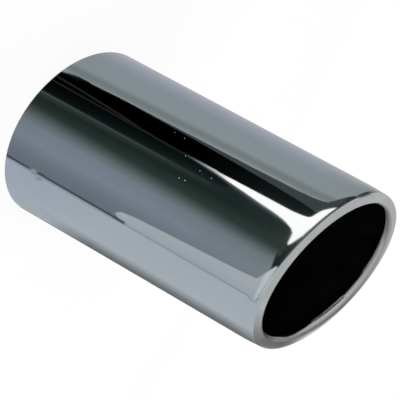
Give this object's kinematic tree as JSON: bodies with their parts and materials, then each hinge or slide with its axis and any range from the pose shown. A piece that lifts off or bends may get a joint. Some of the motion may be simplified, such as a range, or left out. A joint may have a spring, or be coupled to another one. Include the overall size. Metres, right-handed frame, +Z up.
{
  "type": "exhaust tip",
  "caption": "Round slash-cut exhaust tip: a single-wall polished tube with a square inlet end and a rolled edge at the slanted mouth.",
  "frame": {"origin": "centre of the inlet face, which the tip stands on", "axes": "+Z up along the tube's axis from the inlet to the mouth; the slanted mouth faces up and towards -Y, so the long side of the tube is at +Y and the short side at -Y"},
  "size_m": [0.076, 0.076, 0.1431],
  "materials": {
    "shell": "polished, dark inside"
  },
  "bodies": {
    "root": {"tip_shell": "shell"}
  },
  "joints": []
}
